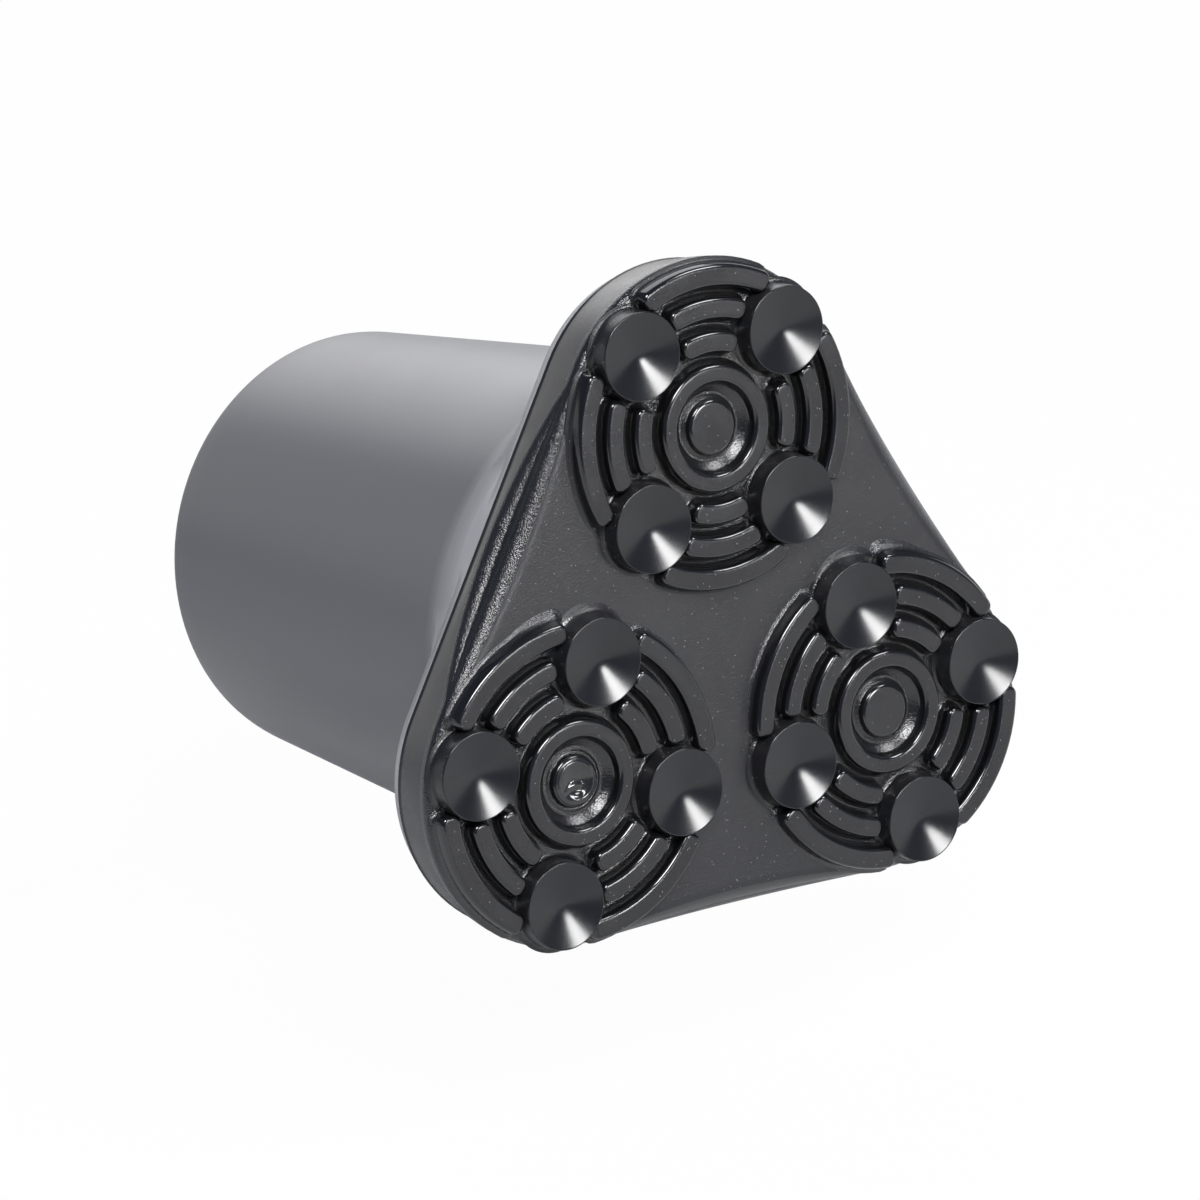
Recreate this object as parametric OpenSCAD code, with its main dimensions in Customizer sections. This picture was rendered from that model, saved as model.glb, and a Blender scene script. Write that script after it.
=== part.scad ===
// Three-foot rubber cane tip: a tapered socket barrel on a rounded triangular base plate,
// with three round treads under its corners. One moulding.
// The origin is the middle of the socket's seat, where the shaft's end rests.
// +Z runs up the socket to its mouth, and the sole faces -Z. One foot points to -Y.

/* [Socket] */
// Diameter of the socket, a little under its 19 mm (3/4 in) shaft so that it grips
bore_d = 18.8; // [12:0.2:26]
// Depth of the socket from its mouth to its seat
bore_depth = 38; // [20:1:60]
// Height and width of the bevel that leads the shaft in
lead_in = 0.8; // [0.2:0.1:2]
// Rubber between the seat and the face of the sole
seat_t = 14; // [9:0.5:25]

/* [Barrel] */
// Outside diameter at the mouth
mouth_d = 34.2; // [30:0.2:40]
// Outside diameter where the barrel meets the base plate
root_d = 40.4; // [34:0.2:44]
// Bevel on the outer edge of the mouth
mouth_edge = 0.5; // [0.1:0.1:1.5]
// Radius of the hollow between the barrel and the back of the plate
root_fillet = 3; // [1:0.5:6]

/* [Base plate] */
// Distance of each foot's middle from the socket's axis
foot_pitch_r = 16; // [14:0.5:22]
// Corner radius of the plate at the rim of the sole
corner_r = 12.45; // [12.3:0.05:15]
// Thickness of the plate
plate_t = 6.6; // [5:0.2:10]
// Height of the parting line above the face of the sole
parting_h = 4.8; // [3:0.1:8]
// How far the side draws in from the rim to the parting line
parting_in = 0.6; // [0:0.05:1.5]
// How far the side draws in again from the parting line to the back
back_in = 0.45; // [0:0.05:1.5]
// Bevel of the rim around the sole
rim_edge = 0.7; // [0.2:0.1:1.2]
// Bevel of the plate's back edge
back_edge = 0.6; // [0.1:0.1:1.2]

/* [Hollow in each side of the sole] */
// Length of the hollow along the rim
hollow_l = 24; // [10:1:30]
// Depth of the hollow at its middle
hollow_h = 1.3; // [0.2:0.1:2.5]
// Width of the hollow, from the rim inwards
hollow_w = 0.7; // [0.3:0.1:2]

/* [Foot] */
// Height of the ribs above the face of the sole
rib_h = 1.2; // [0.6:0.1:1.6]
// Width of a rib at its top
rib_w = 1.56; // [1:0.02:2]
// Width of the groove between two rows
groove_w = 0.88; // [0.5:0.02:1]
// Outer radius of the closed ring
ring_r = 4.7; // [4:0.1:5]
// Width of the closed ring
ring_w = 1.3; // [0.8:0.1:2]
// Radius of the boss in the middle of a foot
boss_r = 2; // [1:0.1:2.6]
// Height of the boss above the face of the sole
boss_h = 0.6; // [0.2:0.1:1.5]
// Rows of broken ribs around the ring
rib_rows = 3; // [1:1:3]
// Gap between the outer row's ends and the studs
end_gap = 0.3; // [0.3:0.05:0.6]
// Extra gap at the ends of each row further in
end_gap_step = 0.2; // [0:0.05:0.4]
// Bevel on the top edges of the ribs
rib_edge = 0.2; // [0.1:0.05:0.4]
// Draft of the walls: how much wider each side is at its foot
draft = 0.1; // [0.02:0.02:0.14]

/* [Studs] */
// Distance of each stud from the middle of its foot
stud_pitch_r = 9; // [8:0.1:10]
// Diameter of a stud at its rim
stud_d = 6.4; // [4:0.1:7]
// Height of a stud above the face of the sole
stud_h = 1.65; // [1:0.05:3]
// Width of the flat rim around the cup
stud_land = 0.3; // [0.1:0.05:0.8]
// Depth of the cup
cup_depth = 0.8; // [0.2:0.1:1.5]
// Radius of the flat spot at the bottom of the cup
cup_floor_r = 0.25; // [0.1:0.05:0.8]

/* [Hidden] */
$fn = 96;
feet = 3;
studs = 4;
foot_step = 360 / feet;
stud_step = 360 / studs;
// How far raised shapes run into the plate, deeper than the rim's bevel
sink = rim_edge + 0.6;
// Overshoot of a cut past the surface that it opens
over = 1;
// Share of a side hollow's depth that is added past the plate's rim
hollow_slope = 0.4;
sole_z = -seat_t;
back_z = sole_z + plate_t;
parting_z = sole_z + parting_h;
mouth_z = bore_depth;
side_r = foot_pitch_r * cos(foot_step / 2);
back_r = corner_r - parting_in - back_in;
// The barrel starts inside the plate and comes out through its sides just above the parting line
root_sink = 2;
root_in = 3;
root_edge = 0.8;
// How far the blend's arc is let into the barrel and the plate, so that it meets them at an edge
blend_in = 0.12;
// How far inside the plate's back edge the blend is cut off
blend_margin = 0.3;
// How far the straight sides stand inside the corners' discs, so that they meet at an edge
side_in = 0.1;

// Half section of the plate, as distance from the line through two feet and height.
// Its bevels run on past the sole and the back, where a slab cuts them off.
function plate_section(inner_x) = [
    [inner_x, sole_z - over],
    [corner_r - rim_edge - over, sole_z - over],
    [corner_r, sole_z + rim_edge],
    [corner_r - parting_in, parting_z],
    [back_r, back_z - back_edge],
    [back_r - back_edge - over, back_z + over],
    [inner_x, back_z + over]
];

function row_r(row) = ring_r + groove_w + rib_w / 2 + row * (rib_w + groove_w);
function row_gap(row) = end_gap + (rib_rows - 1 - row) * end_gap_step;
// Angle between a stud and the middle of a rib's rounded end, by the cosine rule
function end_angle(row) =
    let (reach = stud_d / 2 + row_gap(row) + rib_w / 2)
    acos((pow(row_r(row), 2) + pow(stud_pitch_r, 2) - pow(reach, 2)) / (2 * row_r(row) * stud_pitch_r));

// Straight side of the plate, as a long block that reaches past the opposite foot
module side_block(k) {
    rotate([0, 0, k * foot_step - 90 + foot_step / 2]) translate([side_r - side_in, 0, 0]) rotate([90, 0, 0])
        linear_extrude(height = 4 * foot_pitch_r, center = true)
            polygon(plate_section(-3 * foot_pitch_r));
}

// Rounded triangle with the plate's section: three sides with their corners cut off, and a disc on each corner
module rounded_triangle() {
    // The sides are cut off within the discs, close to where the two touch
    cut_r = foot_pitch_r + back_r * cos(foot_step / 2) + side_in;
    intersection() {
        union() {
            intersection() {
                side_block(0);
                side_block(1);
                side_block(2);
                linear_extrude(height = 4 * foot_pitch_r, center = true)
                    polygon([for (k = [0 : feet - 1])
                        2 * cut_r * [cos(k * foot_step + 90), sin(k * foot_step + 90)]]);
            }
            for (k = [0 : feet - 1]) rotate([0, 0, k * foot_step - 90])
                translate([foot_pitch_r, 0, 0]) rotate_extrude() polygon(plate_section(0));
        }
        translate([0, 0, sole_z]) cylinder(r = foot_pitch_r + corner_r + over, h = plate_t);
    }
}

// Shallow bevel along each side of the sole, deepest midway between two feet
module side_hollows() {
    wheel_r = (pow(hollow_l / 2, 2) + pow(hollow_h, 2)) / (2 * hollow_h);
    rim_r = side_r - side_in + corner_r;
    // The wheel's rim is bevelled, so the hollow is deeper at the plate's rim than further in
    deep_r = wheel_r + hollow_h * hollow_slope;
    shallow_r = wheel_r - hollow_h * (1 - hollow_slope);
    for (k = [0 : feet - 1]) rotate([0, 0, k * foot_step - 90 + foot_step / 2])
        translate([rim_r - hollow_w, 0, sole_z + hollow_h - wheel_r])
            rotate([0, 90, 0])
                cylinder(r1 = shallow_r, r2 = deep_r, h = hollow_w + over);
}

module plate() {
    difference() {
        rounded_triangle();
        side_hollows();
    }
}

module barrel() {
    rotate_extrude() polygon([
        [0, sole_z + root_sink],
        [root_d / 2 - root_in, sole_z + root_sink],
        [root_d / 2, parting_z + root_edge],
        [mouth_d / 2, mouth_z - mouth_edge],
        [mouth_d / 2 - mouth_edge, mouth_z],
        [0, mouth_z]
    ]);
}

// Hollow blend between the barrel and the back of the plate, kept inside the plate's outline
module root_blend() {
    // Barrel radius where the blend runs out
    wall_r = root_d / 2 - (root_d - mouth_d) / 2 * root_fillet / (mouth_z - parting_z);
    // The plate's sides cut the blend off, a little inside their back edge
    blend_side_r = side_r + back_r - back_edge - blend_margin;
    intersection() {
        rotate_extrude() difference() {
            translate([wall_r - root_fillet, back_z - over]) square([2 * root_fillet, root_fillet + over]);
            translate([wall_r + root_fillet - blend_in, back_z + root_fillet - blend_in])
                circle(r = root_fillet);
        }
        translate([0, 0, back_z]) linear_extrude(height = 3 * root_fillet, center = true)
            polygon([for (k = [0 : feet - 1])
                2 * blend_side_r * [cos(k * foot_step - 90), sin(k * foot_step - 90)]]);
    }
}

// Half section of a rib, from its middle line to one side
function rib_half(w, h) = [
    [0, 0],
    [w / 2 + draft, 0],
    [w / 2, sink + h - rib_edge],
    [w / 2 - rib_edge, sink + h],
    [0, sink + h]
];

// Broken rib that lies around a foot's middle and is rounded at both ends
module rib(row) {
    half = rib_half(rib_w, rib_h);
    r = row_r(row);
    span = stud_step / 2 - end_angle(row);
    rotate([0, 0, -span]) rotate_extrude(angle = 2 * span) translate([r, 0])
        polygon(concat(half, [for (i = [len(half) - 2 : -1 : 1]) [-half[i][0], half[i][1]]]));
    for (side = [-1, 1]) rotate([0, 0, side * span]) translate([r, 0, 0])
        rotate([0, 0, side > 0 ? 0 : 180]) rotate_extrude(angle = 180) polygon(half);
}

module ring() {
    half = rib_half(ring_w, rib_h);
    rotate_extrude() translate([ring_r - ring_w / 2, 0])
        polygon(concat(half, [for (i = [len(half) - 2 : -1 : 1]) [-half[i][0], half[i][1]]]));
}

module boss() {
    rotate_extrude() polygon(rib_half(2 * boss_r, boss_h));
}

// Round stud with a conical cup in its end
module stud() {
    rotate_extrude() polygon([
        [0, 0],
        [stud_d / 2 + draft, 0],
        [stud_d / 2, sink + stud_h],
        [stud_d / 2 - stud_land, sink + stud_h],
        [cup_floor_r, sink + stud_h - cup_depth],
        [0, sink + stud_h - cup_depth]
    ]);
}

// One tread, drawn growing upwards from a start inside the plate
module foot() {
    boss();
    ring();
    for (k = [0 : studs - 1]) rotate([0, 0, k * stud_step]) {
        for (row = [0 : rib_rows - 1]) rib(row);
        rotate([0, 0, stud_step / 2]) translate([stud_pitch_r, 0, 0]) stud();
    }
}

module socket() {
    cylinder(d = bore_d, h = mouth_z + over);
    translate([0, 0, mouth_z - lead_in])
        cylinder(d1 = bore_d, d2 = bore_d + 2 * (lead_in + over), h = lead_in + over);
}

module cane_tip() {
    color("#48484b") difference() {
        union() {
            union() {
                barrel();
                root_blend();
            }
            plate();
            for (k = [0 : feet - 1]) rotate([0, 0, k * foot_step - 90])
                translate([foot_pitch_r, 0, sole_z + sink]) mirror([0, 0, 1]) foot();
        }
        socket();
    }
}

cane_tip();
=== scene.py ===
# %% [markdown]
# # A three-foot rubber cane tip
# The tip is one black rubber moulding: a tapered barrel that grips the shaft, a rounded
# triangular base plate, and three round treads. The CAD model gives its true sizes, and this
# lesson builds the finish over it, one surface at a time. Each surface is worked out as whole
# numpy arrays in millimetres and turned into a mesh in metres at the end.

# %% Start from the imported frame
import math

import bmesh
import bpy
import numpy as np
from mathutils import Matrix, Vector


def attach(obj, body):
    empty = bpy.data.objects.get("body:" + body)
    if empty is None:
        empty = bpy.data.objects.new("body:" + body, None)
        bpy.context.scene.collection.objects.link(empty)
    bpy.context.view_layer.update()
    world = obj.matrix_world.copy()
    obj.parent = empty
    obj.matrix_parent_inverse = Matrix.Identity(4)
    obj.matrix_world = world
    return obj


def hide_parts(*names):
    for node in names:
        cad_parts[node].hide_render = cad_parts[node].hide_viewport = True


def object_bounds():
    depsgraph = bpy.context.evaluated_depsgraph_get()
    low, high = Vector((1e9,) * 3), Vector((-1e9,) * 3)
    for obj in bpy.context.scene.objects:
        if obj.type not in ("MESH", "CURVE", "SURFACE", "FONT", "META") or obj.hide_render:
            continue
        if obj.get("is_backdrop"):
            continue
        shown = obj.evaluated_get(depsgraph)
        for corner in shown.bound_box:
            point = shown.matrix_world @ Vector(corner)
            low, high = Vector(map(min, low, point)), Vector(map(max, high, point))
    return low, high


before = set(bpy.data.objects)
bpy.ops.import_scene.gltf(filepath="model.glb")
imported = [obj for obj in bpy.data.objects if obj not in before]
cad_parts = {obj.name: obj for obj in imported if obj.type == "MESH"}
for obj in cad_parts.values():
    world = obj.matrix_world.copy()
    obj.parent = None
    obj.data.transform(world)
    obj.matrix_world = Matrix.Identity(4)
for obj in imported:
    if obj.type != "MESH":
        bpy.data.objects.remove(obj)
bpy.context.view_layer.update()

# %% [markdown]
# ## Sizes
# The origin is the middle of the socket's seat. +Z runs up the shaft and the sole faces -Z.
# One foot points to -Y. The same sizes drive the CAD source, so that the pieces lie over it.

# %% Sizes in millimetres
MM = 0.001
SOLE_Z = -14.0
BACK_Z = -7.4
MOUTH_Z = 38.0
FOOT_PITCH = 16.0
FOOT_ANGLES = np.radians([-90.0, 30.0, 150.0])
PARTING_R = 11.85
PARTING_Z = -9.2
BACK_R = 11.4
BACK_EDGE = 0.6
BORE_R = 9.4
MOUTH_R = 17.1
ROOT_R = 20.2
ROOT_Z = -7.2
FILLET_R = 3.0
WALL_SLOPE = (ROOT_R - MOUTH_R) / (MOUTH_Z - ROOT_Z)
print("barrel's draft, degrees:", round(math.degrees(math.atan(WALL_SLOPE)), 2))


# %% [markdown]
# ## Helpers
# A surface here is a grid of points P[u, v]. Neighbouring points make four-sided faces. Bevel
# and screw modifiers could round and turn the shapes too, but a grid keeps each radius where the
# CAD has it. Where a whole edge of the grid falls on one point or one line, the doubled points
# are merged, which closes poles and seams.

# %% Turn grids of points into one mesh
# Points closer than this many metres become one
MERGE = 2e-6


def grid_faces(nu, nv, first):
    """Faces of an nu x nv grid, closed in u: each joins (u, v), (u+1, v), (u+1, v+1), (u, v+1)."""
    u = np.arange(nu)[:, None]
    v = np.arange(nv - 1)[None, :]
    here = u * nv + v
    there = (u + 1) % nu * nv + v
    return np.stack([here, there, there + 1, here + 1], axis=-1).reshape(-1, 4) + first


def make_piece(name, grids, materials, slots):
    """One mesh from several closed-in-u grids. slots holds, per grid, a material number per row of faces."""
    points, faces, numbers, first = [], [], [], 0
    for grid, rows in zip(grids, slots):
        nu, nv, _ = grid.shape
        points.append(grid.reshape(-1, 3))
        faces.append(grid_faces(nu, nv, first))
        numbers.append(np.tile(np.asarray(rows), nu))
        first += nu * nv
    points = np.concatenate(points) * MM
    faces = np.concatenate(faces)
    mesh = bpy.data.meshes.new(name)
    mesh.vertices.add(len(points))
    mesh.vertices.foreach_set("co", points.astype(np.float32).ravel())
    mesh.loops.add(faces.size)
    mesh.loops.foreach_set("vertex_index", faces.astype(np.int32).ravel())
    mesh.polygons.add(len(faces))
    mesh.polygons.foreach_set("loop_start", np.arange(0, faces.size, 4, dtype=np.int32))
    for material in materials:
        mesh.materials.append(material)
    mesh.polygons.foreach_set("material_index", np.concatenate(numbers).astype(np.int32))
    mesh.update(calc_edges=True)
    bm = bmesh.new()
    bm.from_mesh(mesh)
    bmesh.ops.remove_doubles(bm, verts=bm.verts, dist=MERGE)
    bmesh.ops.recalc_face_normals(bm, faces=bm.faces)
    bm.to_mesh(mesh)
    bm.free()
    mesh.polygons.foreach_set("use_smooth", np.ones(len(mesh.polygons), bool))
    piece = bpy.data.objects.new(name, mesh)
    bpy.context.scene.collection.objects.link(piece)
    triangles = sum(len(p.vertices) - 2 for p in mesh.polygons)
    print(f"{name}: {len(grids)} surfaces, {triangles} triangles")
    return piece


# %% Feet, turned profiles and arcs
def to_foot(points, foot):
    """Foot frame to row frame: x points away from the shaft, z is height above the sole, which faces down."""
    c, s = np.cos(FOOT_ANGLES[foot]), np.sin(FOOT_ANGLES[foot])
    x = points[..., 0] + FOOT_PITCH
    y = points[..., 1]
    return np.stack([c * x - s * y, s * x + c * y, SOLE_Z - points[..., 2]], axis=-1)


def revolve(profile, count, centre=(0.0, 0.0)):
    """Turns a profile of (radius, height) about the vertical line through centre, in count steps."""
    turn = np.linspace(0, 2 * np.pi, count, endpoint=False)
    r, h = np.asarray(profile, float).T
    x = centre[0] + np.cos(turn)[:, None] * r
    y = centre[1] + np.sin(turn)[:, None] * r
    return np.stack([x, y, np.broadcast_to(h, x.shape)], axis=-1)


def arc(centre, radius, start_deg, end_deg, count):
    """Points on an arc in the profile's plane, as (radius, height) pairs."""
    t = np.radians(np.linspace(start_deg, end_deg, count))
    return np.stack([centre[0] + radius * np.cos(t), centre[1] + radius * np.sin(t)], axis=-1)


# %% [markdown]
# ## Finishes
# The whole tip is one compound: carbon-black rubber, pressed in a steel mould. What differs is
# the mould's skin. The face of the sole copies a spark-eroded steel surface and glitters finely.
# The treads' walls and cups copy polished steel, so they are glossy and look almost black in the
# grooves, where little light reaches. The barrel has a drawn satin skin. Photographs could carry
# these skins, but noise at a real size in millimetres has no seams and holds at any distance.

# %% Colour and node helpers
def linear(hex_colour):
    """An sRGB hex colour as linear red, green, blue and alpha."""
    s = np.array([int(hex_colour[i:i + 2], 16) for i in (1, 3, 5)]) / 255
    value = np.where(s <= 0.04045, s / 12.92, ((s + 0.055) / 1.055) ** 2.4)
    return (*[float(x) for x in value], 1.0)


def add(tree, kind, links=(), **settings):
    """Adds a node with its settings, sets or links the inputs named in links, and returns it."""
    node = tree.nodes.new(kind)
    for key, value in settings.items():
        setattr(node, key, value)
    for socket, value in dict(links).items():
        target = node.inputs[socket]
        if isinstance(value, bpy.types.NodeSocket):
            tree.links.new(value, target)
        else:
            target.default_value = value
    return node


def new_material(name):
    """An empty material, its node tree, its output and the place on the piece, in metres."""
    material = bpy.data.materials.new(name)
    material.use_nodes = True
    tree = material.node_tree
    tree.nodes.clear()
    output = add(tree, "ShaderNodeOutputMaterial")
    place = add(tree, "ShaderNodeTexCoord").outputs["Object"]
    return material, tree, output, place


def per_mm(size_mm):
    """Noise scale for features of this size: Object coordinates are in metres."""
    return 1 / (size_mm * MM)


# %% Rubber with a grain, the base of each finish
# Specks of dust lie about this far apart. Each is as wide as the two shares of that gap say
DUST_GAP_MM = 0.5
SPECK_CORE = 0.04
SPECK_EDGE = 0.10
DUST_GREY = "#8c8c8f"
# Noise seldom leaves this range
NOISE_LOW, NOISE_HIGH = 0.3, 0.7
# Where the mould was polished the rubber's skin is dense with carbon black and reflects a little more
RUBBER_IOR = 1.5
POLISHED_IOR = 1.68


def rubber(name, colour, dark, roughness, grain_mm, grain_depth_mm, blotch_mm=4.0, rough_spread=0.08,
           dusty=False, ior=RUBBER_IOR):
    """Two shades drift over blotch_mm, and a grain of grain_mm lifts the skin by grain_depth_mm.

    The roughness drifts with the shades, by rough_spread each way. A dusty skin has pale specks.
    """
    material, tree, output, place = new_material(name)
    blotch = add(tree, "ShaderNodeTexNoise", {"Vector": place, "Scale": per_mm(blotch_mm), "Detail": 3.0})
    shade = add(tree, "ShaderNodeMix", {"Factor": blotch.outputs["Fac"], 6: linear(dark), 7: linear(colour)},
                data_type="RGBA")
    if dusty:
        cells = add(tree, "ShaderNodeTexVoronoi", {"Vector": place, "Scale": per_mm(DUST_GAP_MM)})
        speck = add(tree, "ShaderNodeMapRange", {"Value": cells.outputs["Distance"], "From Min": SPECK_CORE,
                                                 "From Max": SPECK_EDGE, "To Min": 1.0, "To Max": 0.0})
        shade = add(tree, "ShaderNodeMix", {"Factor": speck.outputs[0], 6: shade.outputs[2],
                                            7: linear(DUST_GREY)}, data_type="RGBA")
    grain = add(tree, "ShaderNodeTexNoise", {"Vector": place, "Scale": per_mm(grain_mm), "Detail": 2.0})
    rough = add(tree, "ShaderNodeMapRange", {"Value": blotch.outputs["Fac"],
                                             "From Min": NOISE_LOW, "From Max": NOISE_HIGH,
                                             "To Min": roughness - rough_spread,
                                             "To Max": roughness + rough_spread})
    bump = add(tree, "ShaderNodeBump", {"Height": grain.outputs["Fac"], "Strength": 1.0,
                                        "Distance": grain_depth_mm * MM})
    shader = add(tree, "ShaderNodeBsdfPrincipled", {"Base Color": shade.outputs[2],
                                                    "Roughness": rough.outputs[0],
                                                    "Normal": bump.outputs[0], "IOR": ior})
    tree.links.new(shader.outputs[0], output.inputs[0])
    return material, tree, shader, place


# %% The barrel's finish
# Painted sheen: a lighter grey stands in for the light that the hollow at the barrel's root catches. It is
# full below the first height and gone above the second
PAINTED_SHEEN_FULL_Z = -7.8
PAINTED_SHEEN_GONE_Z = -4.0
PAINTED_SHEEN_GREY = "#9c9ca0"


def barrel_finish():
    """Satin rubber. A painted sheen makes it a lighter grey in the hollow at the root, in place of the light
    caught there.
    """
    material, tree, shader, place = rubber("satin_moulded_rubber", "#5f5f64", "#5a5a5f", 0.33, 0.30, 0.004,
                                           blotch_mm=9.0, rough_spread=0.015)
    even = shader.inputs["Base Color"].links[0].from_socket
    height = add(tree, "ShaderNodeSeparateXYZ", {0: place}).outputs["Z"]
    # The colour turns to a pale grey towards the root: this is painted sheen, drawn into the colour for the
    # light the hollow catches
    painted_sheen = add(tree, "ShaderNodeMapRange", {"Value": height, "From Min": PAINTED_SHEEN_FULL_Z * MM,
                                             "From Max": PAINTED_SHEEN_GONE_Z * MM, "To Min": 1.0, "To Max": 0.0})
    both = add(tree, "ShaderNodeMix", {"Factor": painted_sheen.outputs[0], 6: even, 7: linear(PAINTED_SHEEN_GREY)},
               data_type="RGBA")
    tree.links.new(both.outputs[2], shader.inputs["Base Color"])
    return material


# %% The tip's finishes
# The barrel: broad soft highlights, and a painted sheen that makes its root pale
barrel_skin = barrel_finish()
# The plate's drafted side: an even dark grey with a soft sheen
side_skin, *_ = rubber("smooth_side_rubber", "#29292c", "#232326", 0.30, 0.30, 0.006)
# The treads' tops, rubbed by the ground: dark grey with a fine grain and dust
tread_skin, *_ = rubber("worn_semi_matte_rubber", "#212123", "#1b1b1d", 0.27, 0.17, 0.014,
                        rough_spread=0.05, dusty=True)
# The treads' walls: nearly black, with thin sharp glints along their edges
wall_skin, *_ = rubber("polished_mould_rubber", "#111113", "#0c0c0d", 0.13, 0.6, 0.008,
                       rough_spread=0.04, ior=POLISHED_IOR)
# The studs' cups, from a turned and polished pin: a bright wedge on a dark cone
cup_skin, *_ = rubber("glossy_cup_rubber", "#17181b", "#141518", 0.175, 1.4, 0.002, rough_spread=0.02)
# The socket: dull, with no glint
bore_skin, *_ = rubber("socket_rubber", "#2b2b2d", "#242426", 0.55, 0.5, 0.01)
# The rim's hollows and the swellings, from coarsely eroded steel: streaks of light broken into grains
rim_skin, *_ = rubber("coarse_eroded_rubber", "#212124", "#1b1b1e", 0.15, 0.12, 0.045,
                      rough_spread=0.04, ior=POLISHED_IOR)
# Rubber torn off at the gate: small wet-looking glints
gate_skin, *_ = rubber("torn_gate_rubber", "#1f1f21", "#161618", 0.15, 0.40, 0.02,
                       rough_spread=0.05, ior=POLISHED_IOR)


# %% The sole's finish: spark-eroded outside the treads, polished between the ribs
TREAD_R = 12.0
TREAD_FADE = 0.25


def sole_finish():
    """Two skins mixed by the distance from the nearest foot's middle: polished within the tread's edge.

    Outside it the sole is an even dark grey with a fine glitter and dust. Within it is nearly black.
    """
    material, tree, shader, place = rubber("spark_eroded_rubber", "#212124", "#1b1b1e", 0.33, 0.13, 0.030,
                                           rough_spread=0.05, dusty=True)
    nearest = None
    for angle in FOOT_ANGLES:
        middle = (FOOT_PITCH * MM * math.cos(angle), FOOT_PITCH * MM * math.sin(angle), SOLE_Z * MM)
        gap = add(tree, "ShaderNodeVectorMath", {0: place, 1: middle}, operation="DISTANCE").outputs["Value"]
        if nearest is not None:
            gap = add(tree, "ShaderNodeMath", {0: nearest, 1: gap}, operation="MINIMUM").outputs[0]
        nearest = gap
    outside = add(tree, "ShaderNodeMapRange", {"Value": nearest, "From Min": TREAD_R * MM,
                                               "From Max": (TREAD_R + TREAD_FADE) * MM})
    grain = shader.inputs["Normal"].links[0].from_socket
    polished = add(tree, "ShaderNodeBsdfPrincipled", {"Base Color": linear("#0d0d0e"), "Roughness": 0.22,
                                                      "Normal": grain, "IOR": POLISHED_IOR})
    output = shader.outputs[0].links[0].to_node
    mixed = add(tree, "ShaderNodeMixShader", {0: outside.outputs[0], 1: polished.outputs[0],
                                              2: shader.outputs[0]})
    tree.links.new(mixed.outputs[0], output.inputs[0])
    return material


sole_skin = sole_finish()
print("rubber finishes:", sum(m.name.endswith("_rubber") for m in bpy.data.materials))


# %% [markdown]
# ## Base plate
# The plate is pressed in two mould halves, which meet at the parting line round its side. Its
# outline is a triangle of foot middles, moved outwards by one radius. A half section, listed from
# the middle of the sole over the rim and the parting line to the back, is carried round it. A
# bevelled block would do for the corners, but midway between two feet each side has a shallow
# lens-shaped rebate. So the section there is another list with the same number of points, and
# the two are mixed.

# %% Outline: base points and outward directions
# Further along a side than any rebate reaches
NO_REBATE = 99.0


def plate_outline(corner_steps, side_steps):
    """Base points on the triangle of feet, outward directions, and distances from each side's middle."""
    base, out, along = [], [], []
    for k, angle in enumerate(FOOT_ANGLES):
        foot = FOOT_PITCH * np.array([np.cos(angle), np.sin(angle)])
        after = FOOT_ANGLES[(k + 1) % 3]
        next_foot = FOOT_PITCH * np.array([np.cos(after), np.sin(after)])
        turn = angle + np.radians(np.linspace(-60, 60, corner_steps))
        base.append(np.repeat(foot[None], corner_steps, 0))
        out.append(np.stack([np.cos(turn), np.sin(turn)], -1))
        along.append(np.full(corner_steps, NO_REBATE))
        t = np.linspace(0, 1, side_steps + 2)[1:-1, None]
        base.append(foot + (next_foot - foot) * t)
        out.append(np.repeat(out[-1][-1:], side_steps, 0))
        along.append((t[:, 0] - 0.5) * np.linalg.norm(next_foot - foot))
    return np.concatenate(base), np.concatenate(out), np.concatenate(along)


REBATE_HALF = 12.0
base, out, along = plate_outline(33, 47)
lens = np.clip(1 - (along / REBATE_HALF) ** 2, 0, 1)
print("outline points:", len(base))


# %% The half section at the feet and midway between them
def edge(centre_r, centre_d, radius, *tilts):
    """Points of a rounded edge as (radius, depth below the sole), at tilts from flat, in degrees."""
    t = np.radians(tilts)
    return np.stack([centre_r + radius * np.sin(t), centre_d - radius * np.cos(t)], -1)


# One rounding at the feet
AT_FEET = np.concatenate([
    [[10.60, 0.0], [11.40, 0.0]],
    edge(11.83, 0.62, 0.62, 0, 10, 20, 30, 38, 45, 52, 58, 62, 66, 70, 74, 78, 82, 86, 88, 90),
    [[12.43, 1.0]],
])
# Two roundings with a step between them midway, which give the rebate its double streak of light
MIDWAY = np.concatenate([
    [[10.30, 0.0], [10.50, 0.0]],
    edge(10.465, 1.797, 1.80, 5, 13, 20, 27, 34, 42, 50, 58),
    [[12.02, 0.93], [12.03, 1.15], [12.05, 1.45]],
    edge(11.456, 2.85, 1.43, 25, 33, 41, 49, 57, 65),
    [[12.78, 2.6]],
])
# The first rows of both lie on the face of the sole or close to it
FACE_ROWS = 4
rim = AT_FEET + (MIDWAY - AT_FEET) * lens[:, None, None]
rim_r, rim_z = rim[..., 0], SOLE_Z + rim[..., 1]
print("rim rows:", rim_r.shape[1])


# %% The side, the parting line and the back edge
# How far the thin flash at the parting line stands out
FLASH = 0.07
# Each row's radius past the parting line's, and its height above it
SIDE_STEPS = [(0.03, -0.35), (0.0, -0.12), (FLASH, -0.04), (FLASH, 0.04), (-0.03, 0.1), (-0.12, 0.4)]
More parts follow.
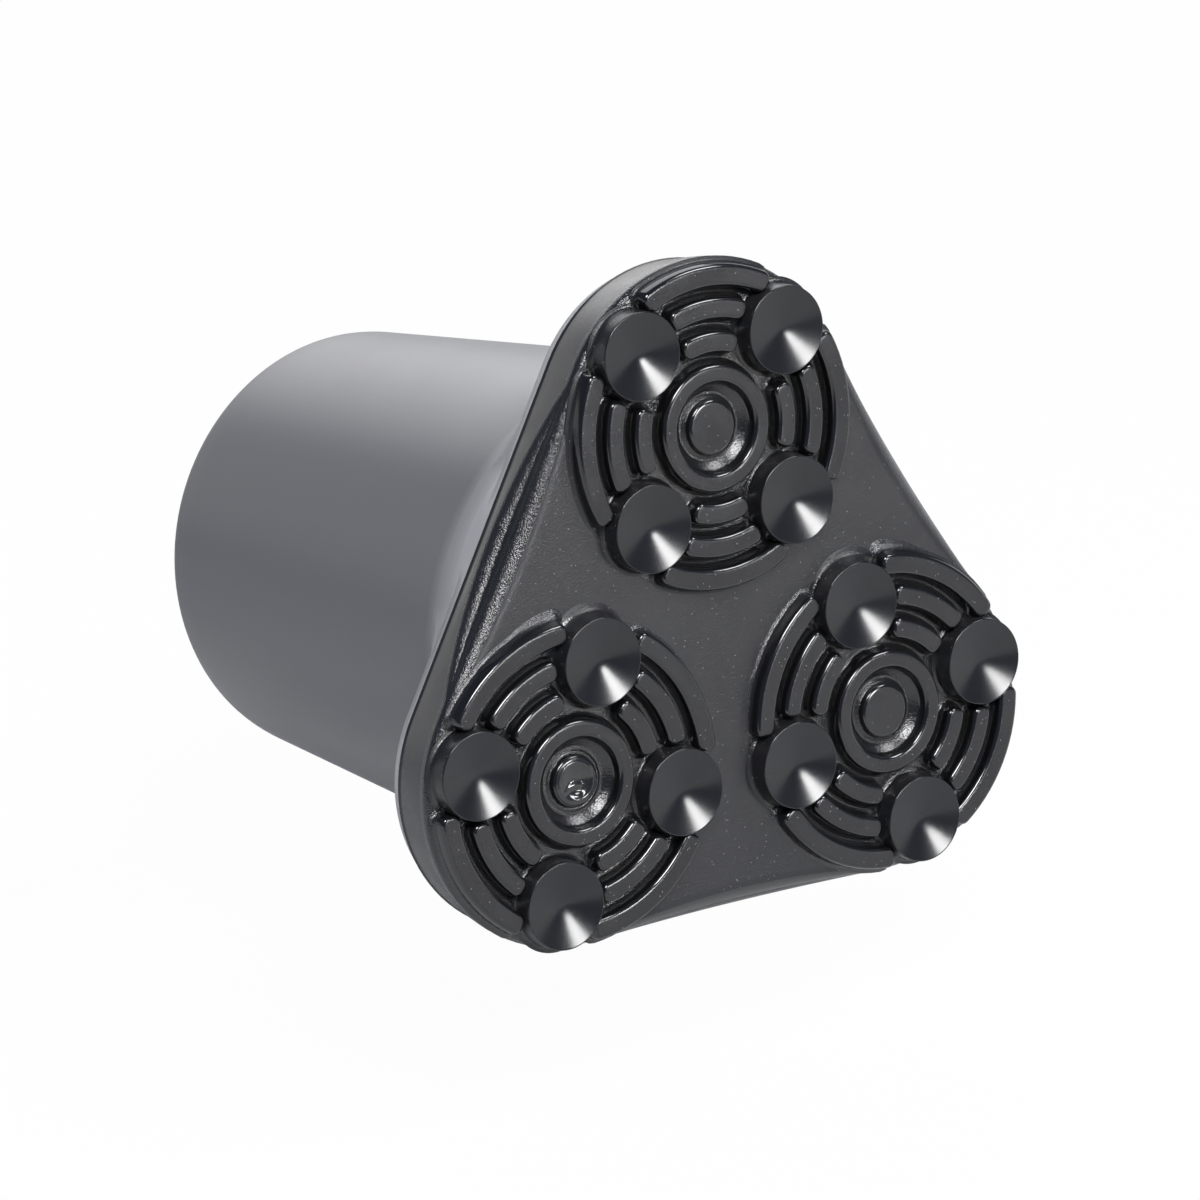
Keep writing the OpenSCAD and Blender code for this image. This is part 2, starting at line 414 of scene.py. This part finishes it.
# The rows from the first up to the flash's top
FLASH_ROWS = 4
side_rows = np.array([PARTING_R, PARTING_Z]) + SIDE_STEPS
side_rows = np.concatenate([side_rows, [[BACK_R + 0.06, BACK_Z - 0.62]]])
shape = (len(base), len(side_rows))
side_r = np.broadcast_to(side_rows[:, 0], shape)
side_z = np.broadcast_to(side_rows[:, 1], shape)
edge_turn = np.radians([0, 25, 50, 75, 90])
edge_r = BACK_R - BACK_EDGE + BACK_EDGE * np.cos(edge_turn)
back_r = np.broadcast_to(edge_r, (len(base), len(edge_turn)))
back_z = np.broadcast_to(BACK_Z - BACK_EDGE * (1 - np.sin(edge_turn)), back_r.shape)
edge_plan = base + (BACK_R - BACK_EDGE) * out
print("side and back rows:", side_r.shape[1] + back_r.shape[1])


# %% The barrel's place in the plate
# The mould's halves don't quite meet, so the barrel's root stands this far off the middle
MISMATCH_MM = 0.5
MISMATCH = MISMATCH_MM * np.array([math.cos(math.radians(30)), math.sin(math.radians(30))])


def wall_radius(z):
    """The barrel's radius at a height: a straight taper from the root to the mouth."""
    return ROOT_R - (z - ROOT_Z) * WALL_SLOPE


def axis_at(z):
    """The barrel's middle at a height: off-centre at the root, and on the shaft's line at the mouth."""
    share = np.clip((MOUTH_Z - np.asarray(z, float)) / (MOUTH_Z - ROOT_Z), 0, 1)
    return share[..., None] * MISMATCH


FILLET_TOP = BACK_Z + FILLET_R
FILLET_IN = 0.03
FILLET_MID = wall_radius(FILLET_TOP) + FILLET_R - FILLET_IN
print("hollow's centre, mm from the axis:", round(FILLET_MID, 2))


# %% Keep the plate's back outside the barrel
# The back's skin turns from outside the barrel to inside it between this height and the hollow's top
SKIN_Z = -6.0
# Section of the bead that the back edge leaves on the barrel, and how far above the back it ends
BEAD = 0.05
BEAD_ABOVE = 0.1
# Lower than this below the barrel's root, the skin may lean in as steeply as the slope says
UNDER_ROOT = 0.85
LEAN_IN = 0.8
# Width of the smooth meeting of plate and barrel, and the least share of it that is left at the top
SOFT = 0.3
SOFT_LEAST = 0.001


def over_barrel(points):
    """Keeps the back of the plate outside the barrel, like a skin that dives in at the hollow's top.

    The distance from the axis becomes the smooth maximum of its own and the barrel's:
    max(a, b) + max(soft - |a - b|, 0)^2 / (4 soft). A small bead with an elliptical section,
    BEAD * sqrt(1 - t^2), carries the plate's back edge along the barrel midway between two feet.
    """
    z = points[..., 2]
    axis = axis_at(z)
    own = np.linalg.norm(points[..., :2] - axis, axis=-1)
    dive = np.clip((z - SKIN_Z) / (FILLET_TOP - SKIN_Z), 0, 1)
    below_root = np.maximum(ROOT_Z - UNDER_ROOT - z, 0)
    t = np.clip((z - BACK_Z + BACK_EDGE) / (BACK_EDGE + BEAD_ABOVE), 0, 1)
    bead = BEAD * np.sqrt(1 - t ** 2)
    lowest = wall_radius(np.maximum(z, BACK_Z))
    wall = lowest + bead + FILLET_IN * (1 - 2 * dive ** 2 * (3 - 2 * dive)) - LEAN_IN * below_root
    soft = SOFT * np.clip((FILLET_TOP - z) / FILLET_R, SOFT_LEAST, 1)
    meet = np.maximum(soft - np.abs(own - wall), 0)
    rho = np.maximum(own, wall) + meet ** 2 / (4 * soft)
    plan = axis + (points[..., :2] - axis) * (rho / own)[..., None]
    return np.concatenate([plan, points[..., 2:]], -1)


r_all = np.concatenate([rim_r, side_r, back_r], 1)
z_all = np.concatenate([rim_z, side_z, back_z], 1)
plan = base[:, None] + r_all[..., None] * out[:, None]
band = np.concatenate([plan, z_all[..., None]], -1)
above_flash = rim_r.shape[1] + FLASH_ROWS
band[:, above_flash:] = over_barrel(band[:, above_flash:])
print("band rows:", band.shape[1])

# %% Fill the sole towards its middle and the back towards the barrel
inner_shares = np.array([0.0, 0.25, 0.5, 0.75, 0.92])
sole_fill = band[:, :1] * inner_shares[None, :, None]
sole_fill[..., 2] = SOLE_Z
from_axis = edge_plan - axis_at(BACK_Z)
edge_angle = np.arctan2(from_axis[:, 1], from_axis[:, 0])
edge_rho = np.linalg.norm(from_axis, axis=1)
flat_shares = np.linspace(0, 1, 5)[1:]
flat_rho = edge_rho[:, None] + (np.minimum(edge_rho, FILLET_MID) - edge_rho)[:, None] * flat_shares
arc_turn = np.radians(np.linspace(0, 90, 18))[None]
arc_rho = np.minimum(FILLET_MID - FILLET_R * np.sin(arc_turn), edge_rho[:, None])
arc_z = np.broadcast_to(FILLET_TOP - FILLET_R * np.cos(arc_turn), arc_rho.shape)
rho = np.concatenate([flat_rho, arc_rho], 1)
lift = np.concatenate([np.full(flat_rho.shape, BACK_Z), arc_z], 1)
outwards = np.stack([np.cos(edge_angle), np.sin(edge_angle)], -1)
back_fill = np.concatenate([axis_at(lift) + rho[..., None] * outwards[:, None], lift[..., None]], -1)
back_fill = over_barrel(back_fill)
print("fill rows:", sole_fill.shape[1] + back_fill.shape[1])

# %% Close the plate inside the barrel
INSIDE_SHARE = 0.998
INSIDE_LIFT = 0.3
inside = back_fill[:, -1:] * INSIDE_SHARE
inside[..., 2] = FILLET_TOP + INSIDE_LIFT
middle = inside.copy()
middle[..., :2] = 0
plate_grid = np.concatenate([sole_fill, band, back_fill, inside, middle], 1)
row = np.arange(plate_grid.shape[1] - 1)
rim_first = sole_fill.shape[1] + FACE_ROWS
side_first = sole_fill.shape[1] + rim_r.shape[1] - 1
plate_slots = np.select([row < rim_first, row < side_first, row < side_first + FLASH_ROWS], [0, 3, 1], 2)
plate = make_piece("base_plate", [plate_grid], [sole_skin, side_skin, barrel_skin, rim_skin], [plate_slots])

# %% [markdown]
# ## Barrel
# The barrel is the socket that grips the shaft, and its core pin is drawn out of the mouth. A
# tapered cylinder would lack its edges, so it is a turned shape: one profile goes from inside the
# plate up the tapered wall, round the mouth, down the socket and across its seat.

# %% Barrel profile, revolved
INSIDE_Z = -11.2
ROOT_EDGE = 0.95
MOUTH_EDGE = 0.45
LEAD_EDGE = 0.15
outer = np.concatenate([
    [[15.0, INSIDE_Z], [18.4, -9.9]],
    arc((ROOT_R - 0.9, ROOT_Z - 1.1), ROOT_EDGE, -60, 0, 6),
    [[wall_radius(z), z] for z in np.linspace(-7.0, 37.2, 24)],
])
mouth = np.concatenate([
    arc((MOUTH_R - MOUTH_EDGE, MOUTH_Z - MOUTH_EDGE), MOUTH_EDGE, 4, 90, 7),
    [[MOUTH_R - 0.6, MOUTH_Z], [BORE_R + 1.1, MOUTH_Z]],
])
bore = np.concatenate([
    arc((BORE_R + 0.95, MOUTH_Z - LEAD_EDGE), LEAD_EDGE, 90, 135, 3),
    [[BORE_R + 0.06, MOUTH_Z - 0.72], [BORE_R, MOUTH_Z - 0.85], [BORE_R, MOUTH_Z - 1.2], [BORE_R, 20.0],
     [BORE_R, 0.5], [BORE_R - 0.12, 0.12], [BORE_R - 0.5, 0.0], [4.0, 0.0], [0.0, 0.0]],
])
barrel_grid = revolve(np.concatenate([[[0.0, INSIDE_Z]], outer, mouth, bore]), 144)
outer_rows = slice(1, 1 + len(outer))
barrel_grid[:, outer_rows, :2] += axis_at(barrel_grid[:, outer_rows, 2])
bore_first = 1 + len(outer) + len(mouth)
barrel_slots = np.where(np.arange(barrel_grid.shape[1] - 1) < bore_first, 0, 1)
barrel = make_piece("barrel", [barrel_grid], [barrel_skin, bore_skin], [barrel_slots])

# %% [markdown]
# ## Treads
# The ribs are broken rings that grip the ground, and milled grooves in the mould made them. Each
# could be an arc with a bevel, but their feet flare into the sole and their walls lean. So a rib
# is a bar with rounded corners, bent round its foot's middle. Moving the bar's outline in or out
# by d and lifting it to height h, row by row, gives the flared foot, the wall, the rounded top
# edge and the flat top. The last row falls on the bar's middle line.

# %% Rib rows
RIB_H = 1.2
FLARE_ROWS = [(0.50, -0.04), (0.42, 0.0), (0.29, 0.035), (0.18, 0.11), (0.10, 0.25), (0.07, 0.45)]
TOP_ROWS = [(0.0, 0.90), (-0.025, 0.99), (-0.07, 1.075), (-0.14, 1.145), (-0.23, 1.185), (-0.34, RIB_H),
            (-0.45, RIB_H)]
# How far each row stands out from the rib's edge, and its height
RIB_ROWS = FLARE_ROWS + [(0.03, 0.80)] + TOP_ROWS
# The ring's inner side starts with a wide slope up to its wall
SLOPE_ROWS = [(0.88, -0.04), (0.80, 0.0), (0.67, 0.08), (0.50, 0.20), (0.34, 0.32), (0.18, 0.44),
              (0.08, 0.58)] + TOP_ROWS
# Rows of faces with the sole's skin, and the last with the wall's
LOW_ROWS = 5
EDGE_ROWS = 11
print("rows of a rib:", len(RIB_ROWS))


# %% Outline of a rib
def bar_outline(half_long, half_wide, corner, d):
    """Outline of a rounded bar moved outwards by d: base points on the inner bar plus a radius."""
    turn = np.radians([0, 22, 45, 68, 90])
    t_long = np.linspace(1, -1, 15)[1:-1]
    t_wide = np.linspace(1, -1, 4)[1:-1]
    signs, normals = [], []
    for q, (sx, sy) in enumerate([(1, 1), (-1, 1), (-1, -1), (1, -1)]):
        a = turn + q * np.pi / 2
        signs.append(np.repeat([[sx, sy]], len(a), 0).astype(float))
        normals.append(np.stack([np.cos(a), np.sin(a)], -1))
        t = t_long if q % 2 == 0 else t_wide
        along = np.ones((len(t), 2))
        along[:, 0] = t * sx if q % 2 == 0 else sx
        along[:, 1] = sy if q % 2 == 0 else t * sy
        signs.append(along)
        normals.append(np.repeat(normals[-1][-1:], len(t), 0))
    signs, normals = np.concatenate(signs), np.concatenate(normals)
    shrink = min(corner + d, 0.0)
    half = np.array([half_long - corner + shrink, max(half_wide - corner + shrink, 0.0)])
    return signs * half + max(corner + d, 0.0) * normals


# %% The swellings
# Two feet swell a little towards the third: how far, how high, and between which directions
SWELL = 0.6
SWELL_HIGH = 0.6
SWELL_HALF = math.radians(24)
SWELL_AT = {1: math.radians(-122), 2: math.radians(122)}


def swell(foot, angle, outwards, height):
    """How far a tread's outer foot runs out over the sole, around one direction from its middle.

    SWELL * (1 - (angle / SWELL_HALF)^2) * (1 - height / SWELL_HIGH), on surfaces that face outwards.
    """
    if foot not in SWELL_AT:
        return np.zeros(np.shape(angle))
    away = (angle - SWELL_AT[foot] + np.pi) % (2 * np.pi) - np.pi
    near = np.clip(1 - (away / SWELL_HALF) ** 2, 0, 1)
    low = np.clip(1 - np.asarray(height) / SWELL_HIGH, 0, 1)
    return SWELL * near * low * np.clip(outwards, 0, 1)


# %% Rib
RIB_CORNER = 0.62
# Only the outer row of ribs starts beyond this radius, and only it swells
OUTER_ROW_R = 10.0


def rib(foot, inner_r, outer_r, half_deg, turn_deg):
    """A bar from inner_r to outer_r, bent to the middle radius, with its rows lifted as listed."""
    mid = (inner_r + outer_r) / 2
    half_wide = (outer_r - inner_r) / 2
    half_long = mid * math.radians(half_deg)
    closed = [(-half_wide, RIB_ROWS[0][1])] + RIB_ROWS + [(-half_wide, RIB_ROWS[-1][1])]
    layers = []
    for d, h in closed:
        bar = bar_outline(half_long, half_wide, RIB_CORNER, d)
        angle = bar[:, 0] / mid + math.radians(turn_deg)
        r = mid + bar[:, 1] + (inner_r > OUTER_ROW_R) * swell(foot, angle, bar[:, 1] / half_wide, h)
        layers.append(np.stack([r * np.cos(angle), r * np.sin(angle), np.full(len(r), h)], -1))
    return np.stack(layers, 1)


# %% Ring and boss profiles
FLARE_TOP = 0.2


def ring_profile(inner_r, outer_r):
    """From the ring's outer foot over the top and down its wide inner slope."""
    outer_side = [(outer_r + d, h) for d, h in RIB_ROWS]
    inner_side = [(inner_r - d, h) for d, h in reversed(SLOPE_ROWS)]
    return outer_side + inner_side + outer_side[:1]


def boss_profile(r, height):
    """The rib's rows lowered to the boss's height, closed at the middle."""
    lowered = [(r + d, h if h < FLARE_TOP else height - (RIB_H - h) * 0.5) for d, h in RIB_ROWS]
    return [(0.0, RIB_ROWS[0][1])] + lowered + [(r * 0.5, height), (0.0, height)]


# %% Place the treads on the three feet
# Inner radius, outer radius and half angle of each row of ribs
RIBS = [(5.58, 7.13, 22.0), (8.05, 9.60, 22.0), (10.42, 12.03, 29.0)]
RING = (3.4, 4.72)
tread_grids, tread_slots = [], []


def upward_slots(count, high, low=0):
    """Material numbers from the foot upwards: the low number, wall, then the high number for the top."""
    row = np.arange(count)
    return np.where(row <= LOW_ROWS, low, np.where(row <= EDGE_ROWS, 1, high))


def foot_skin(foot, inner_r):
    """The swellings copy the coarse skin of the plate's rim, so their outer ribs' feet do too."""
    return 3 if foot in SWELL_AT and inner_r > OUTER_ROW_R else 0


for foot in range(3):
    for quarter in range(4):
        for inner_r, outer_r, half_deg in RIBS:
            grid = rib(foot, inner_r, outer_r, half_deg, 90 * quarter)
            tread_grids.append(to_foot(grid, foot))
            tread_slots.append(upward_slots(grid.shape[1] - 1, 2, foot_skin(foot, inner_r)))
    tread_grids.append(to_foot(revolve(ring_profile(*RING), 96), foot))
    side = upward_slots(len(RIB_ROWS), 2)[1:]
    tread_slots.append(np.concatenate([side, [2], side[::-1], [0]]))
ribs = make_piece("treads", tread_grids, [sole_skin, wall_skin, tread_skin, rim_skin], tread_slots)

# %% [markdown]
# ## Studs
# Each foot has four round studs with a hollow cup, which bites into soft ground and holds on a wet
# floor. A cone cut from a cylinder would have a needle tip and knife edges. The mould pin's tip is
# blunt, so the cup is a turned hyperbola, and the thin rim round it is rounded.

# %% Stud profile
STUD_R = 3.28
STUD_H = 1.65
STUD_PITCH = 9.0
STUD_EDGE = 0.07
STUD_LAND = 0.12
CUP_SLOPE = 0.245
CUP_ROUNDING = 0.19
CUP_DROP = 0.015
CUP_SHARES = [1.0, 0.97, 0.88, 0.76, 0.62, 0.48, 0.36, 0.26, 0.18, 0.12, 0.07, 0.03, 0.0]


def stud_profile():
    """Flared foot, drafted wall, thin rounded rim and a cup.

    The cup is a cone with a blunt tip, a hyperbola in section: height = sqrt(c^2 + (slope * r)^2).
    """
    flare = [(STUD_R + d, h) for d, h in FLARE_ROWS]
    wall = [(0.0, RIB_ROWS[0][1])] + flare + [(STUD_R + 0.02, RIB_H)]
    rim = arc((STUD_R - STUD_EDGE, STUD_H - STUD_EDGE), STUD_EDGE, 0, 90, 4)
    r = np.array(CUP_SHARES) * (STUD_R - STUD_LAND)
    rise = np.hypot(CUP_ROUNDING, CUP_SLOPE * r)
    cone = np.stack([r, STUD_H - CUP_DROP + rise - rise[0]], -1)
    return np.array(wall), rim, cone


# %% Place the studs
# Closer to the stud's middle than this there is only its cup and its hidden underside
STUD_WALL_R = 1.0
wall, rim, cone = stud_profile()
stud_grids, stud_slots = [], []
for foot in range(3):
    for quarter in range(4):
        a = math.radians(45 + 90 * quarter)
        middle = STUD_PITCH * np.array([math.cos(a), math.sin(a)])
        grid = revolve(np.concatenate([wall, rim, cone]), 72, centre=middle)
        from_stud = grid[..., :2] - middle
        reach = np.maximum(np.linalg.norm(from_stud, axis=-1, keepdims=True), 0.01)
        from_foot = grid[..., :2] / np.linalg.norm(grid[..., :2], axis=-1, keepdims=True)
        facing = np.sum(from_stud / reach * from_foot, -1)
        spread = swell(foot, np.arctan2(from_foot[..., 1], from_foot[..., 0]), facing, grid[..., 2])
        grid[..., :2] += spread[..., None] * np.where(reach > STUD_WALL_R, from_stud / reach, 0)
        stud_grids.append(to_foot(grid, foot))
        low = [0] * LOW_ROWS + [1] * (len(wall) - LOW_ROWS)
        stud_slots.append(low + [2] * (len(rim) + len(cone) - 1))
studs = make_piece("studs", stud_grids, [sole_skin, tread_skin, cup_skin], stud_slots)


# %% [markdown]
# ## Bosses
# Two feet have a plain round boss. The rubber was injected through the third, at the lower left:
# its boss is sunk and ends in a torn dimple. Noise in a material could draw the tear, but real
# ripples in the mesh catch the lamps as the torn rubber does.

# %% The gate mark
GATE_R = 1.78
GATE_H = 0.44
GATE_RINGS = 22
LIP_R, LIP_WIDE, LIP_H = 1.45, 0.16, 0.10
BOWL_R, BOWL_DEPTH = 0.95, 0.16
TORN_X, TORN_Y = 0.38, -0.55
TORN_LONG, TORN_WIDE = 0.8, 0.62
TORN_LIFT, RIPPLE_H = 0.05, 0.13
RIPPLES = 7
RIPPLE_SEED = 7


def gate_grid(rings, count):
    """A shallow bowl with a raised lip, and a torn patch with seeded ripples in its lower part.

    Lip and bowl are bell curves of the radius, and the ripples are a sum of cosine waves.
    """
    rng = np.random.default_rng(RIPPLE_SEED)
    r = np.linspace(GATE_R, 0, rings)
    turn = np.linspace(0, 2 * np.pi, count, endpoint=False)
    rr, tt = np.meshgrid(r, turn)
    x, y = rr * np.cos(tt), rr * np.sin(tt)
    waves = [(rng.uniform(4, 9), rng.uniform(0, 6.3), rng.uniform(0, 6.3)) for _ in range(RIPPLES)]
    ripple = sum(np.cos(k * (x * np.cos(a) + y * np.sin(a)) + b) for k, a, b in waves) / 3
    lip = LIP_H * np.exp(-((rr - LIP_R) / LIP_WIDE) ** 2)
    bowl = -BOWL_DEPTH * np.exp(-(rr / BOWL_R) ** 4)
    torn = np.exp(-(((x - TORN_X) / TORN_LONG) ** 2 + ((y - TORN_Y) / TORN_WIDE) ** 2) ** 2)
    return np.stack([x, y, GATE_H + lip + bowl + torn * (TORN_LIFT + RIPPLE_H * ripple)], -1)


# %% Place the bosses
BOSS_R = 2.02
BOSS_H = 0.6
GATE_BOSS_R = 1.92
boss_grids, boss_slots = [], []
for foot in (0, 1):
    grid = revolve(boss_profile(BOSS_R, BOSS_H), 64)
    boss_grids.append(to_foot(grid, foot))
    boss_slots.append(upward_slots(grid.shape[1] - 1, 2))
skirt = revolve(boss_profile(GATE_BOSS_R, GATE_H)[:len(RIB_ROWS) - 1], 96)
gate = np.concatenate([skirt, gate_grid(GATE_RINGS, 96)], 1)
boss_grids.append(to_foot(gate, 2))
boss_slots.append([0] * LOW_ROWS + [1] * (skirt.shape[1] - LOW_ROWS) + [3] * (GATE_RINGS - 1))
bosses = make_piece("bosses", boss_grids, [sole_skin, wall_skin, tread_skin, gate_skin], boss_slots)

# %% [markdown]
# ## Ride and replace
# Every piece moves with the tip's one body. The dressed surfaces stand for the CAD node, which
# isn't shown.

# %% Tie the pieces to the frame
for piece in (plate, barrel, ribs, studs, bosses):
    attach(piece, "root")
    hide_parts("cane_tip")
    print(piece.name, "replaces the CAD solid's surface")

# %% [markdown]
# ## Floor, light and camera
# In the photograph the tip lies on its side on white paper, and the sole faces the camera. So the
# floor here runs along the barrel's taper, on the +Y side. It stands a little clear of the tip, so
# that no dark line of contact shows from behind, and it is clear from there.

# %% Floor
FLOOR_GAP = 12.0
FLOOR_HALF = 900.0
FLOOR_FRONT = 60.0
# How much of the floor that the camera sees is plain white
PLAIN_SHARE = 0.97


def floor_finish():
    """White paper: nearly plain white to the camera, diffuse paper to every other ray, clear from behind."""
    material, tree, output, _ = new_material("white_paper")
    behind = add(tree, "ShaderNodeNewGeometry").outputs["Backfacing"]
    seen = add(tree, "ShaderNodeLightPath").outputs["Is Camera Ray"]
    paper = add(tree, "ShaderNodeBsdfDiffuse", {"Color": linear("#d0d0d0")})
    plain = add(tree, "ShaderNodeEmission", {"Color": linear("#ffffff"), "Strength": 1.0})
    bright = add(tree, "ShaderNodeMapRange", {"Value": seen, "To Max": PLAIN_SHARE})
    front = add(tree, "ShaderNodeMixShader", {0: bright.outputs[0], 1: paper.outputs[0], 2: plain.outputs[0]})
    clear = add(tree, "ShaderNodeBsdfTransparent")
    both = add(tree, "ShaderNodeMixShader", {0: behind, 1: front.outputs[0], 2: clear.outputs[0]})
    tree.links.new(both.outputs[0], output.inputs[0])
    return material


floor_mesh = bpy.data.meshes.new("floor")
floor_z = np.array([SOLE_Z - FLOOR_FRONT, FLOOR_HALF])
floor_y = wall_radius(floor_z) + MISMATCH[1] + FLOOR_GAP
floor_points = [(-FLOOR_HALF, floor_y[0], floor_z[0]), (FLOOR_HALF, floor_y[0], floor_z[0]),
                (FLOOR_HALF, floor_y[1], floor_z[1]), (-FLOOR_HALF, floor_y[1], floor_z[1])]
floor_mesh.from_pydata([tuple(float(c) * MM for c in p) for p in floor_points], [], [(0, 1, 2, 3)])
floor_mesh.materials.append(floor_finish())
floor = bpy.data.objects.new("floor", floor_mesh)
bpy.context.scene.collection.objects.link(floor)
floor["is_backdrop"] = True
print("floor's distance from the shaft's line at its ends, mm:", np.round(floor_y, 1))

# %% World: white paper on one side, a dim bluish room on the other
PAPER_SIDE = (0.104, 0.928, 0.357)
PAPER_FROM, PAPER_FULL = -0.115, -0.065
# A grey screen on the left dims the paper from the first share to the second
SCREEN_FROM, SCREEN_FULL = 0.1, 0.8
SCREEN_LEVEL = 0.62
ROOM_BLUE = "#5b6375"
scene = bpy.context.scene
scene.world = bpy.data.worlds.new("studio")
scene.world.use_nodes = True
world = scene.world.node_tree
world.nodes.clear()
towards = add(world, "ShaderNodeTexCoord").outputs["Generated"]
to_paper = add(world, "ShaderNodeVectorMath", {0: towards, 1: PAPER_SIDE}, operation="DOT_PRODUCT")
paper = add(world, "ShaderNodeMapRange", {"Value": to_paper.outputs["Value"], "From Min": PAPER_FROM,
                                          "From Max": PAPER_FULL})
leftwards = add(world, "ShaderNodeVectorMath", {0: towards, 1: (-1, 0, 0)}, operation="DOT_PRODUCT")
screen = add(world, "ShaderNodeMapRange", {"Value": leftwards.outputs["Value"], "From Min": SCREEN_FROM,
                                           "From Max": SCREEN_FULL, "To Min": 1.0, "To Max": SCREEN_LEVEL})
lit = add(world, "ShaderNodeMath", {0: paper.outputs[0], 1: screen.outputs[0]}, operation="MULTIPLY")
room = add(world, "ShaderNodeMix", {"Factor": lit.outputs[0], 6: linear(ROOM_BLUE), 7: linear("#ffffff")},
           data_type="RGBA")
seen = add(world, "ShaderNodeLightPath").outputs["Is Camera Ray"]
shown = add(world, "ShaderNodeMix", {"Factor": seen, 6: room.outputs[2], 7: linear("#ffffff")},
            data_type="RGBA")
sky = add(world, "ShaderNodeBackground", {"Color": shown.outputs[2], "Strength": 1.0})
add(world, "ShaderNodeOutputWorld", {"Surface": sky.outputs[0]})
print("world nodes:", len(world.nodes))


# %% Lamps
def lamp(name, direction, distance, wide, high, power):
    """A rectangular soft box that faces the tip's middle. The direction is in the row frame."""
    light = bpy.data.lights.new(name, "AREA")
    light.shape = "RECTANGLE"
    light.size = wide * MM
    light.size_y = high * MM
    light.energy = power
    holder = bpy.data.objects.new(name, light)
    where = Vector(direction).normalized() * distance * MM
    holder.location = where
    holder.rotation_mode = "QUATERNION"
    holder.rotation_quaternion = (-where).to_track_quat("-Z", "Y")
    bpy.context.scene.collection.objects.link(holder)
    print(f"lamp {name}: {power} W at {distance} mm")


# Direction, distance, width and height in millimetres, and watts
lamp("key", (0.33, -0.13, -0.935), 700, 190, 130, 2.1)
lamp("forward", (-0.27, -0.61, -0.74), 700, 220, 220, 4.6)
lamp("top", (0.46, -0.745, -0.487), 700, 220, 220, 2.2)
lamp("over", (0.22, -0.70, 0.68), 800, 640, 640, 2.7)

# %% Camera, at the photograph's viewing angle
CAMERA_MM = (-235.9, -99.1, -366.8)
# Turns about X, Y and Z, in radians
TILTS = (0.261, 0.5532, 0.2099)
FOCAL_MM = 177.57
SENSOR_MM = 36.0
NEAR_M, FAR_M = 0.01, 10.0


def turn(axis, angle):
    """Rotation matrix about one axis."""
    return np.array(Matrix.Rotation(angle, 3, axis))


photo_turn = turn("Z", TILTS[2]) @ turn("Y", TILTS[1]) @ turn("X", TILTS[0])
to_row = np.diag([1.0, -1.0, -1.0]) @ photo_turn.T
data = bpy.data.cameras.new("camera")
data.sensor_width = SENSOR_MM
data.lens = FOCAL_MM
data.clip_start = NEAR_M
data.clip_end = FAR_M
camera = bpy.data.objects.new("camera", data)
camera.matrix_world = Matrix.Translation(Vector(CAMERA_MM) * MM) @ Matrix(to_row.tolist()).to_4x4()
scene.collection.objects.link(camera)
scene.camera = camera
scene.view_settings.view_transform = "Standard"
print("camera distance, mm:", round(Vector(CAMERA_MM).length, 1))

# %% Sizes for the record, and the end
low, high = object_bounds()
print("visual box, mm:", [round((b - a) * 1000, 2) for a, b in zip(low, high)])
